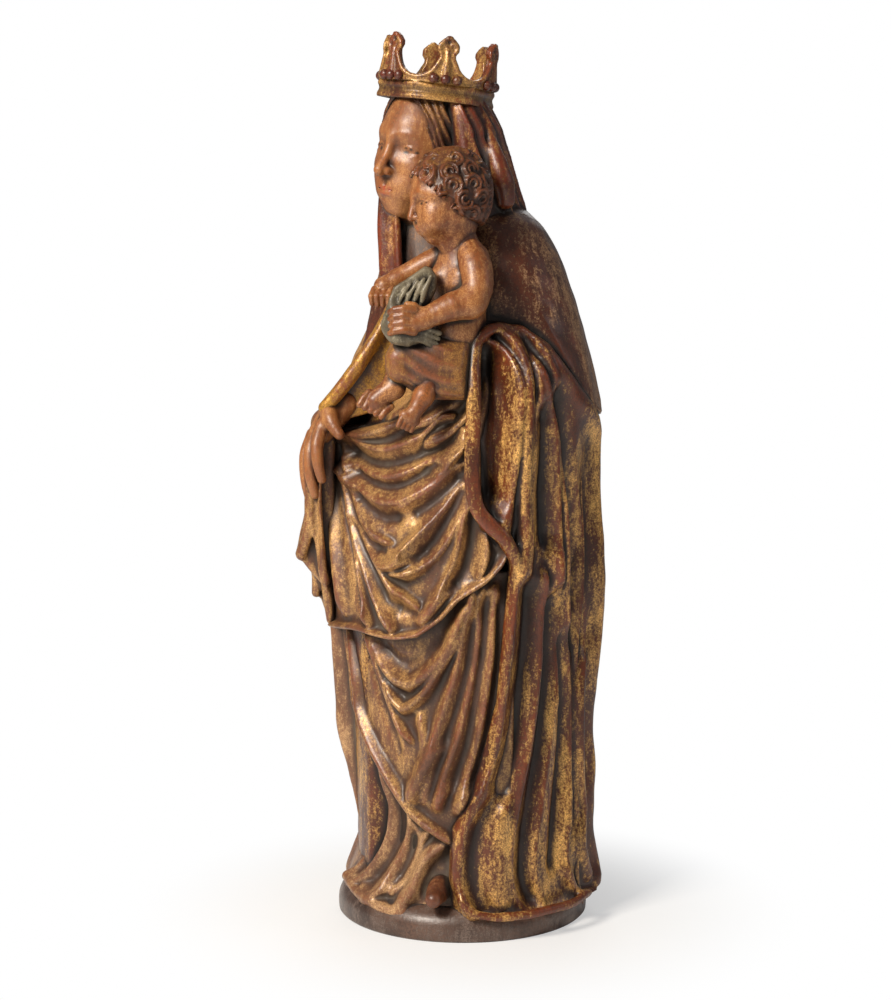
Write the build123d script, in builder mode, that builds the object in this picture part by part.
"""Standing crowned Madonna carrying the Child on her left arm, carved in limewood and gilded.

Millimetres, +Z up, origin at the centre of the plinth's underside.
The figure faces -Y, so her left hand and the Child are on the +X side.
Angles round the figure are counted from her front, growing towards her left.
The carving is glued up from separately cut blocks: each block is seated against
its neighbours by cutting them out of it, and pegs hold the main joints.
"""

from math import cos, pi, radians, sin
import os

from build123d import *

# ------------------------------------------------------------------ driving sizes
plinth_radius = 86.0
plinth_wall = 11.0  # upright edge of the plinth
mound_rise = 6.0  # carved ground above the edge
plinth_edge_round = 2.5
ground_slope = 14.0  # how far in from the edge the ground reaches its full height

cloth_flutes = 13  # upright folds round the whole mantle
fold_depth = 5.0
hem_flutes = 15  # folds round the foot of the gown
hem_fold_depth = 4.0
apron_relief = 7.0  # how far the slung apron stands out from the mantle
shoe_half_width = 10.0
shoe_height = 10.0

peg_radius = 4.0
peg_length = 30.0
crown_pin_radius = 1.2
crown_pin_length = 12.0
peg_play = 0.05  # radial clearance of every peg in its hole
seat_clearance = 0.3  # room inside the crown

crown_points = 6
crown_band_radius = 38.0
crown_flare = 2.5  # how much further out the crown stands at its tips
crown_wall = 4.0
crown_band_height = 15.0
crown_point_height = 26.0
crown_seat = 86.0  # height of the crown's lower edge above the neck's pivot
scallop_half_width = 16.5
gem_radius = 2.6
gems_in_group = 3
gem_step = 8.0  # degrees between the gems of a group

head_tilt = 9.0  # degrees, towards the Child
head_turn = -5.0  # degrees, away from the Child
head_nod = 2.0  # degrees, forwards
neck_pivot = (-19.0, -19.0, 470.0)

main_view_angle = 40.0  # the side that the carving is composed for
joint_behind_axis = 22.0  # the front and back blocks meet this far behind the axis
section_spacing = 42.0  # height between the lofted sections of a block
far = 400.0  # longer than any cut needs

os.makedirs("parts", exist_ok=True)


# ------------------------------------------------------------------ ways of working
across = Vector(cos(radians(main_view_angle)), sin(radians(main_view_angle)), 0)
towards = Vector(sin(radians(main_view_angle)), -cos(radians(main_view_angle)), 0)
main_view = Plane(origin=(0, 0, 0), x_dir=across, z_dir=towards)
back_joint = Plane(origin=towards * -joint_behind_axis, x_dir=across, z_dir=towards)


def seen(u, z, near):
    """Point u to the right, z up and near in front of the axis, from the main view."""
    return across * u + towards * near + Vector(0, 0, z)


def around(angle, radius):
    """Point at an angle round the figure, counted from her front towards her left."""
    return (radius * sin(radians(angle)), -radius * cos(radians(angle)))


def smooth_levels(rows, spacing=section_spacing):
    """Rows of (height, values...) filled in to evenly spaced ones on a smooth curve."""
    count = max(2, round((rows[-1][0] - rows[0][0]) / spacing))
    slopes = []
    for i in range(len(rows)):
        low, high = rows[max(i - 1, 0)], rows[min(i + 1, len(rows) - 1)]
        slopes.append([(b - a) / (high[0] - low[0]) for a, b in zip(low, high)])
    filled = []
    for n in range(count + 1):
        z = rows[0][0] + (rows[-1][0] - rows[0][0]) * n / count
        i = max(k for k in range(len(rows) - 1) if rows[k][0] <= z + 1e-9)
        run = rows[i + 1][0] - rows[i][0]
        t = (z - rows[i][0]) / run
        start, end = (1 + 2 * t) * (1 - t) ** 2, t * t * (3 - 2 * t)
        leave, arrive = t * (1 - t) ** 2 * run, t * t * (t - 1) * run
        filled.append([
            start * a + end * b + leave * c + arrive * d
            for a, b, c, d in zip(rows[i], rows[i + 1], slopes[i], slopes[i + 1])
        ])
    return filled


def pleated(base, z, centre_x, centre_y, half_width, half_depth, flutes=3, depth=0.0, turn=0.0):
    """One section square to the base plane: an oval whose edge swells and sinks in pleats."""
    points = []
    for i in range(4 * flutes):
        a = 2 * pi * i / (4 * flutes)
        swell = depth * (0.7 * cos(flutes * a + turn) + 0.3 * cos((flutes - 2) * a - turn))
        points.append((centre_x + (half_width + swell) * sin(a), centre_y - (half_depth + swell) * cos(a)))
    with BuildSketch(base.offset(z)) as section:
        with BuildLine():
            Spline(*points, periodic=True)
        make_face()
    return section.sketch


def block(*rows, base=Plane.XY, spacing=section_spacing, **pleats):
    """Sections for a loft through (height, centre x, centre y, half width, half depth) rows."""
    return [pleated(base, *row, **pleats) for row in smooth_levels(rows, spacing)]


def limb(*stations):
    """Round sections through (point, radius) stations, each square to the limb's run."""
    places = [Vector(*place) for place, radius in stations]
    steep = abs((places[-1] - places[0]).normalized().Z) > 0.7
    side = Vector(1, 0, 0) if steep else Vector(0, 0, 1)
    sections = []
    for i, (place, radius) in enumerate(stations):
        run = (places[min(i + 1, len(places) - 1)] - places[max(i - 1, 0)]).normalized()
        side = (side - run * side.dot(run)).normalized()
        with BuildSketch(Plane(origin=places[i], x_dir=side, z_dir=run)) as section:
            Circle(radius)
        sections.append(section.sketch)
    return sections


def room(*outline):
    """Straight-sided space in front of the back joint, with this (u, z) outline in the main view."""
    with BuildPart() as space:
        with BuildSketch(back_joint):
            with BuildLine():
                Polyline(*outline, close=True)
            make_face()
        extrude(amount=far)
    return space


def seat_against(*neighbours):
    """Cut the neighbouring blocks out of the block that is being made."""
    for neighbour in neighbours:
        add(neighbour.part, mode=Mode.SUBTRACT)


def keep_body():
    """Drop the chips that the cuts left beside the block that is being made."""
    add(solids().sort_by(SortBy.VOLUME)[-1], mode=Mode.REPLACE)


def hole(joint, radius, length):
    """Bore for a peg that is centred on a joint."""
    with Locations(joint):
        Cylinder(radius + peg_play, length, mode=Mode.SUBTRACT)


def pin(joint, radius, length):
    """Peg centred on a joint, with eased ends."""
    with Locations(joint):
        Cylinder(radius, length)
        chamfer(edges(Select.LAST).filter_by(GeomType.CIRCLE), radius * 0.2)


def write(piece, name):
    piece.part.label = name
    export_step(piece.part, f"parts/{name}.step")


# ------------------------------------------------------------------ joints
# Where the pegs stand: under the figure, in the neck, behind the Child and under the crown.
ground = plinth_wall + mound_rise
head_level = Plane(Location(neck_pivot, (head_nod, head_tilt, head_turn)))
neck_joint = Location(head_level)
child_joint = Location(Plane(origin=(36, -40, 412), z_dir=(0.3, -1, 0)))
base_joints = [Location((x, y, ground)) for x, y in ((-30, 8), (32, 8), (0, -28))]
crown_joints = [
    Location(head_level.offset(crown_seat)) * Location((*around(angle, crown_band_radius - crown_wall / 2), 0))
    for angle in (30, 150, 270)
]

with BuildPart() as base_pegs:
    for joint in base_joints:
        pin(joint, peg_radius, peg_length)

with BuildPart() as head_peg:
    pin(neck_joint, peg_radius, peg_length)

with BuildPart() as child_peg:
    pin(child_joint, peg_radius, peg_length)

with BuildPart() as crown_pins:
    for joint in crown_joints:
        pin(joint, crown_pin_radius, crown_pin_length)

# ------------------------------------------------------------------ plinth
# Turned disc with a rounded upright edge and ground that rises to a flat seat for the figure.
with BuildPart() as plinth:
    with BuildSketch(Plane.XZ):
        with BuildLine():
            Polyline((0, ground), (0, 0), (plinth_radius, 0), (plinth_radius, plinth_wall))
            ThreePointArc(
                (plinth_radius, plinth_wall),
                (plinth_radius - ground_slope * 0.45, plinth_wall + mound_rise * 0.62),
                (plinth_radius - ground_slope, ground),
            )
            Line((plinth_radius - ground_slope, ground), (0, ground))
        make_face()
    revolve(axis=Axis.Z)
    rims = plinth.edges().filter_by(GeomType.CIRCLE).group_by(Axis.Z)
    fillet(rims[0], plinth_edge_round)
    for joint in base_joints:
        hole(joint, peg_radius, peg_length)

# ------------------------------------------------------------------ gown
# The figure's core: the gown from the ground to the collar, leaning in a gentle S.
with BuildPart() as gown_form:
    loft(block(
        (ground, 0, 0, 60, 57),
        (150, 3, 0, 58, 50),
        (260, 6, 0, 57, 46),
        (350, 4, 0, 55, 42),
        (410, -4, -3, 52, 37),
        (445, -13, -10, 38, 31),
        (466, -18, -16, 21, 21),
    ))

with BuildPart() as gown:
    add(gown_form.part)
    for joint in (*base_joints, neck_joint, child_joint):
        hole(joint, peg_radius, peg_length)

# ------------------------------------------------------------------ mantle
# The whole mantle as two pleated forms: the cloth that hangs, and the apron slung over it.
# The front is divided where the cloth's edges run, as the carver sees them from the main view.
def fall_edge(z):
    """Where the upright fall meets the aprons, as a (u, z) point."""
    return (-8 + 22 * (z + 10) / 420, z)


apron_top = 336
apron_hem = ((-140, 203), (-28, 199), fall_edge(229))
skirt_hem = ((-140, 187), fall_edge(70))
apron_corner = (30, 253)
apron_room = room((-140, apron_top), *apron_hem, apron_corner, fall_edge(apron_top))
lower_room = room(skirt_hem[0], *apron_hem, skirt_hem[1])
hem_room = room(skirt_hem[0], (-140, -10), fall_edge(-10), skirt_hem[1])
fall_room = room(
    fall_edge(-10), apron_hem[2], apron_corner, fall_edge(apron_top), fall_edge(410), (140, 410), (140, -10)
)

with BuildPart() as mantle_form:
    loft(block(
        (ground, 4, 4, 80, 76),
        (100, 2, 2, 82, 76),
        (200, 0, 0, 86, 77),
        (300, 0, 0, 88, 74),
        (360, 4, 2, 84, 66),
        (400, 6, 2, 66, 50),
        flutes=cloth_flutes, depth=fold_depth,
    ))
    seat_against(gown_form)

with BuildPart() as mantle_back:
    add(mantle_form.part)
    split(bisect_by=back_joint, keep=Keep.BOTTOM)

# Upright folds that fall from the left forearm to the ground.
with BuildPart() as left_fall:
    add(mantle_form.part)
    add(fall_room.part, mode=Mode.INTERSECT)

# Diagonal lower apron: the mantle's edge runs from her right hip to her left foot.
with BuildPart() as lower_apron:
    add(mantle_form.part)
    add(lower_room.part, mode=Mode.INTERSECT)

# Upper apron: the mantle gathered in the right hand and slung across under the Child.
with BuildPart() as upper_apron:
    loft(block(
        (180, 0, 0, 86 + apron_relief, 77 + apron_relief),
        (300, 0, 0, 88 + apron_relief, 74 + apron_relief),
        (350, 0, 0, 84 + apron_relief, 70),
        flutes=cloth_flutes, depth=fold_depth * 0.6, turn=1.0,
    ))
    seat_against(gown_form)
    add(apron_room.part, mode=Mode.INTERSECT)

# ------------------------------------------------------------------ gown hem
# The gown's skirt breaks in folds on the ground, at her front and right, arched over the shoe.
shoe_run = Plane(origin=(18, -40, ground), x_dir=(0.93, 0.36, 0), z_dir=(0.36, -0.93, 0))
with BuildPart() as gown_hem:
    loft(block(
        (ground, 0, 0, 76, 72),
        (70, 0, 0, 72, 66),
        (190, 2, 0, 68, 62),
        flutes=hem_flutes, depth=hem_fold_depth, turn=0.6,
    ))
    seat_against(gown_form)
    add(hem_room.part, mode=Mode.INTERSECT)
    with BuildSketch(shoe_run):
        Ellipse(shoe_half_width + 3, shoe_height + 3)
    extrude(amount=far, mode=Mode.SUBTRACT)

# Pointed left shoe that looks out from under the hem, standing on the ground.
with BuildPart() as shoe:
    loft(limb(
        (shoe_run.from_local_coords((0, 1, 0)), shoe_height),
        (shoe_run.from_local_coords((0, 0, 22)), shoe_height - 0.5),
        (shoe_run.from_local_coords((0, -1, 36)), shoe_height - 3),
        (shoe_run.from_local_coords((0, -2, 44)), shoe_height - 7),
    ))
    split(bisect_by=Plane.XY.offset(ground), keep=Keep.TOP)
    seat_against(gown_form)

# ------------------------------------------------------------------ shoulders and arms
# Mantle drawn smooth over the left shoulder and upper arm, down to the bent elbow.
with BuildPart() as left_shoulder:
    loft(block(
        (338, 50, 6, 43, 50),
        (380, 46, 4, 44, 47),
        (420, 38, 4, 43, 42),
        (450, 30, 4, 38, 35),
        (470, 20, 3, 28, 27),
        (486, 12, 4, 14, 14),
        spacing=30,
    ))
    seat_against(gown_form, left_fall, mantle_back, upper_apron)
    hole(child_joint, peg_radius, peg_length)

# Right hand, let into its sleeve; the sleeve is let into the shoulder.
with BuildPart() as right_hand:
    loft(limb(
        ((-69, -50, 333), 9),
        ((-67, -72, 324), 10),
        ((-63, -85, 308), 10),
        ((-59, -88, 290), 6),
    ))
    seat_against(upper_apron)

with BuildPart() as right_sleeve:
    loft(limb(
        ((-46, -6, 420), 13),
        ((-58, -10, 392), 17),
        ((-68, -26, 354), 18),
        ((-69, -58, 331), 14),
    ))
    seat_against(right_hand, gown_form, mantle_back, upper_apron)
    keep_body()

with BuildPart() as right_shoulder:
    loft(block(
        (338, -42, -2, 36, 38),
        (380, -40, 0, 36, 36),
        (420, -36, 0, 32, 32),
        (450, -34, -2, 24, 26),
        (468, -30, -4, 12, 14),
        spacing=30,
    ))
    seat_against(gown_form, right_sleeve, mantle_back, upper_apron)

# Cloth gathered in her lap, under the Child's feet.
with BuildPart() as mantle_lap:
    loft(block(
        (apron_top - 10, 4, -4, 64, 66),
        (352, 12, -8, 58, 60),
        (372, 20, -14, 44, 46),
        (388, 26, -20, 30, 30),
        spacing=20,
    ))
    split(bisect_by=Plane.XY.offset(apron_top), keep=Keep.TOP)
    seat_against(gown_form, left_shoulder, left_fall, mantle_back, right_shoulder, right_sleeve)

# ------------------------------------------------------------------ hanging edges
# Edge of the mantle that runs from her neck down to the right hand, its lining turned out.
with BuildPart() as mantle_right_edge:
    with BuildSketch(main_view.offset(4)):
        with BuildLine():
            Polyline((-56, 432), (-90, 356), (-86, 342), (-60, 348), (-44, 380), (-48, 432), close=True)
        make_face()
    extrude(amount=34)
    seat_against(gown_form, right_shoulder, right_sleeve, upper_apron)

# Cloth that drops from the right hand in a zigzag of turned-over folds.
with BuildPart() as mantle_cascade:
    with BuildSketch(main_view.offset(-18)):
        with BuildLine():
            Polyline(
                (-88, 326), (-97, 300), (-109, 252), (-97, 242), (-99, 216), (-84, 204), (-78, 260), (-74, 326),
                close=True,
            )
        make_face()
    extrude(amount=40)
    seat_against(right_hand, right_sleeve, upper_apron)
    keep_body()

# ------------------------------------------------------------------ head
# Head and neck in one, on the tilted and turned axis of the neck.
with BuildPart() as head:
    loft(block(
        (-12, 0, 3, 24, 24),
        (4, 0, -1, 18, 20),
        (14, 0, -7, 21, 27),
        (28, 0, -7, 26, 33),
        (50, 0, -4, 29, 37),
        (70, 0, -2, 28, 36),
        (88, 0, 0, 22, 28),
        (98, 0, 0, 9, 12),
        base=head_level, spacing=18,
    ))
    seat_against(gown_form, left_shoulder, right_shoulder)
    hole(neck_joint, peg_radius, peg_length)

# Hair combed back from a centre parting, open at the face.
face_side = head_level * Plane.YZ
crown_height = crown_band_height + crown_point_height
with BuildPart() as hair:
    loft(block(
        (16, 0, 6, 27, 26),
        (34, 0, 3, 33, 36),
        (60, 0, 1, 35, 40),
        (84, 0, 1, 28, 33),
        (101, 0, 1, 12, 14),
        base=head_level, spacing=18,
    ))
    seat_against(head, left_shoulder)
    with BuildSketch(face_side):
        with BuildLine():
            Polyline((-60, 0), (-6, 0), (-10, 40), (-22, 84), (-60, 84), close=True)
        make_face()
    extrude(amount=far, both=True, mode=Mode.SUBTRACT)
    keep_body()

# Veil over the hair, falling to the shoulders and down the back.
with BuildPart() as veil:
    loft(block(
        (-34, 6, 22, 50, 36),
        (-10, 3, 16, 42, 34),
        (30, 0, 10, 39, 37),
        (60, 0, 3, 38, 39),
        (crown_seat, 0, 0, crown_band_radius + 1, crown_band_radius + 1),
        (crown_seat + 12, 0, 0, crown_band_radius - 10, crown_band_radius - 10),
        (crown_seat + 20, 0, 0, crown_band_radius - 26, crown_band_radius - 26),
        base=head_level, spacing=12,
    ))
    seat_against(head, hair)
    with BuildSketch(head_level.offset(crown_seat)):
        Circle(crown_band_radius + 10)
        Circle(crown_band_radius - crown_wall - seat_clearance, mode=Mode.SUBTRACT)
    extrude(amount=crown_height, mode=Mode.SUBTRACT)
    with BuildSketch(face_side):
        with BuildLine():
            Polyline((-80, -60), (2, -60), (-2, 40), (-20, 78), (-80, 78), close=True)
        make_face()
    extrude(amount=far, both=True, mode=Mode.SUBTRACT)
    seat_against(gown_form, left_shoulder, right_shoulder, mantle_back)
    keep_body()
    for joint in crown_joints:
        hole(joint, crown_pin_radius, crown_pin_length)

# ------------------------------------------------------------------ crown
# Open crown: a flaring band that rises into fleurons, with U-shaped scallops between them.
crown_base = Location(head_level.offset(crown_seat))
upright = Location((0, 0, 0), (90, 0, 0))
with BuildPart() as crown:
    with BuildSketch(face_side):
        with BuildLine():
            Polyline(
                (crown_band_radius, crown_seat),
                (crown_band_radius + crown_flare, crown_seat + crown_height),
                (crown_band_radius + crown_flare - crown_wall, crown_seat + crown_height),
                (crown_band_radius - crown_wall, crown_seat),
                close=True,
            )
        make_face()
    revolve(axis=Axis(head_level.origin, head_level.z_dir))
    for k in range(crown_points):
        gap_middle = 360 / crown_points * (k + 0.5)
        with BuildSketch(Plane(crown_base * Location((0, 0, 0), (0, 0, gap_middle)) * upright)):
            with BuildLine():
                scallop_top = crown_band_height + scallop_half_width
                ThreePointArc(
                    (-scallop_half_width, scallop_top), (0, crown_band_height), (scallop_half_width, scallop_top)
                )
                Polyline(
                    (scallop_half_width, scallop_top),
                    (scallop_half_width - 1.4, scallop_top + 4),
                    (scallop_half_width + 3, crown_height),
                    (scallop_half_width + 3, crown_height + 5),
                    (-scallop_half_width - 3, crown_height + 5),
                    (-scallop_half_width - 3, crown_height),
                    (-scallop_half_width + 1.4, scallop_top + 4),
                    (-scallop_half_width, scallop_top),
                )
            make_face()
        extrude(amount=crown_band_radius * 2, mode=Mode.SUBTRACT)
    for joint in crown_joints:
        hole(joint, crown_pin_radius, crown_pin_length)

# Three beads of the crown's border under each fleuron, glued to the band.
with BuildPart() as crown_gems:
    for k in range(crown_points):
        for step in range(gems_in_group):
            angle = 360 / crown_points * k + gem_step * (step - (gems_in_group - 1) / 2)
            radius = crown_band_radius + crown_flare * 0.5 * crown_band_height / crown_height
            with Locations(crown_base * Location((*around(angle, radius), crown_band_height / 2))):
                Sphere(gem_radius)
    seat_against(crown)

# ------------------------------------------------------------------ Child
# The Child sits on her left forearm, his head turned to his right.
child_neck = (43, -56, 462)
child_head_level = Plane(Location(child_neck, (4, -4, -32)))
child_face_side = child_head_level * Plane.YZ

with BuildPart() as child_head:
    loft(block(
        (-10, 0, 2, 8, 8),
        (4, 0, 0, 9, 10),
        (12, 0, -4, 16, 19),
        (28, 0, -2, 22, 25),
        (42, 0, 0, 22, 25),
        (52, 0, 0, 15, 17),
        (57, 0, 0, 6, 7),
        base=child_head_level, spacing=12,
    ))

# Short curls over the crown, sides and back of the Child's head.
with BuildPart() as child_hair:
    loft(block(
        (12, 0, 6, 16, 17),
        (26, 0, 3, 24, 25),
        (42, 0, 1, 25, 27),
        (54, 0, 0, 18, 20),
        (61, 0, 0, 7, 8),
        base=child_head_level, spacing=12,
    ))
    seat_against(child_head)
    with BuildSketch(child_face_side):
        with BuildLine():
            Polyline((-60, 0), (-2, 0), (-4, 24), (-19, 44), (-60, 44), close=True)
        make_face()
    extrude(amount=far, both=True, mode=Mode.SUBTRACT)

with BuildPart() as child_left_arm:
    loft(limb(
        ((56, -56, 450), 8),
        ((66, -64, 425), 9.5),
        ((44, -87, 413), 6.5),
        ((28, -96, 412), 7),
        ((22, -97, 411), 5),
    ))

with BuildPart() as child_right_arm:
    loft(limb(
        ((32, -54, 450), 8),
        ((10, -70, 438), 7.5),
        ((-6, -77, 430), 5),
        ((-14, -79, 424), 6),
    ))

with BuildPart() as child_left_leg:
    loft(limb(
        ((36, -56, 388), 12),
        ((16, -76, 384), 11.5),
        ((19, -74, 362), 8),
        ((9, -84, 345), 5),
    ))
    seat_against(mantle_lap)

with BuildPart() as child_right_leg:
    loft(limb(
        ((26, -54, 390), 11),
        ((-2, -73, 386), 10.5),
        ((-4, -77, 366), 7.5),
        ((-12, -85, 352), 5),
    ))
    seat_against(mantle_lap, child_left_leg)
    keep_body()

# Cloth wrapped round the Child's hips and thighs.
with BuildPart() as child_loincloth:
    loft(limb(
        ((52, -42, 380), 18),
        ((32, -58, 381), 20),
        ((8, -74, 383), 15),
    ))
    seat_against(child_left_leg, child_right_leg, gown_form, left_shoulder, left_fall, mantle_lap)
    keep_body()

with BuildPart() as child_torso:
    loft(limb(
        ((38, -53, 388), 16),
        ((41, -55, 420), 17),
        ((44, -55, 446), 15),
        ((45, -54, 460), 8),
    ))
    seat_against(
        child_loincloth, child_left_leg, child_right_leg, child_head, child_left_arm, child_right_arm,
        gown_form, left_shoulder,
    )
    keep_body()
    hole(child_joint, peg_radius, peg_length)

# Dove held in the Child's left hand, one wing raised.
with BuildPart() as dove:
    loft(limb(
        ((14, -98, 411), 4),
        ((22, -96, 409), 8),
        ((30, -89, 405), 8.5),
        ((39, -77, 400), 5),
    ))
    with BuildSketch(main_view.offset(80)):
        with BuildLine():
            Spline((-44, 416), (-43, 432), (-32, 444), (-22, 442), (-24, 424), (-34, 408), periodic=True)
        make_face()
    extrude(amount=6)
    seat_against(child_left_arm)

# ------------------------------------------------------------------ files
pieces = {
    "base_pegs": base_pegs,
    "head_peg": head_peg,
    "child_peg": child_peg,
    "crown_pins": crown_pins,
    "plinth": plinth,
    "gown": gown,
    "mantle_back": mantle_back,
    "left_fall": left_fall,
    "lower_apron": lower_apron,
    "upper_apron": upper_apron,
    "gown_hem": gown_hem,
    "shoe": shoe,
    "left_shoulder": left_shoulder,
    "right_hand": right_hand,
    "right_sleeve": right_sleeve,
    "right_shoulder": right_shoulder,
    "mantle_lap": mantle_lap,
    "mantle_right_edge": mantle_right_edge,
    "mantle_cascade": mantle_cascade,
    "head": head,
    "hair": hair,
    "veil": veil,
    "crown": crown,
    "crown_gems": crown_gems,
    "child_head": child_head,
    "child_hair": child_hair,
    "child_left_arm": child_left_arm,
    "child_right_arm": child_right_arm,
    "child_left_leg": child_left_leg,
    "child_right_leg": child_right_leg,
    "child_loincloth": child_loincloth,
    "child_torso": child_torso,
    "dove": dove,
}

for name, piece in pieces.items():
    write(piece, name)
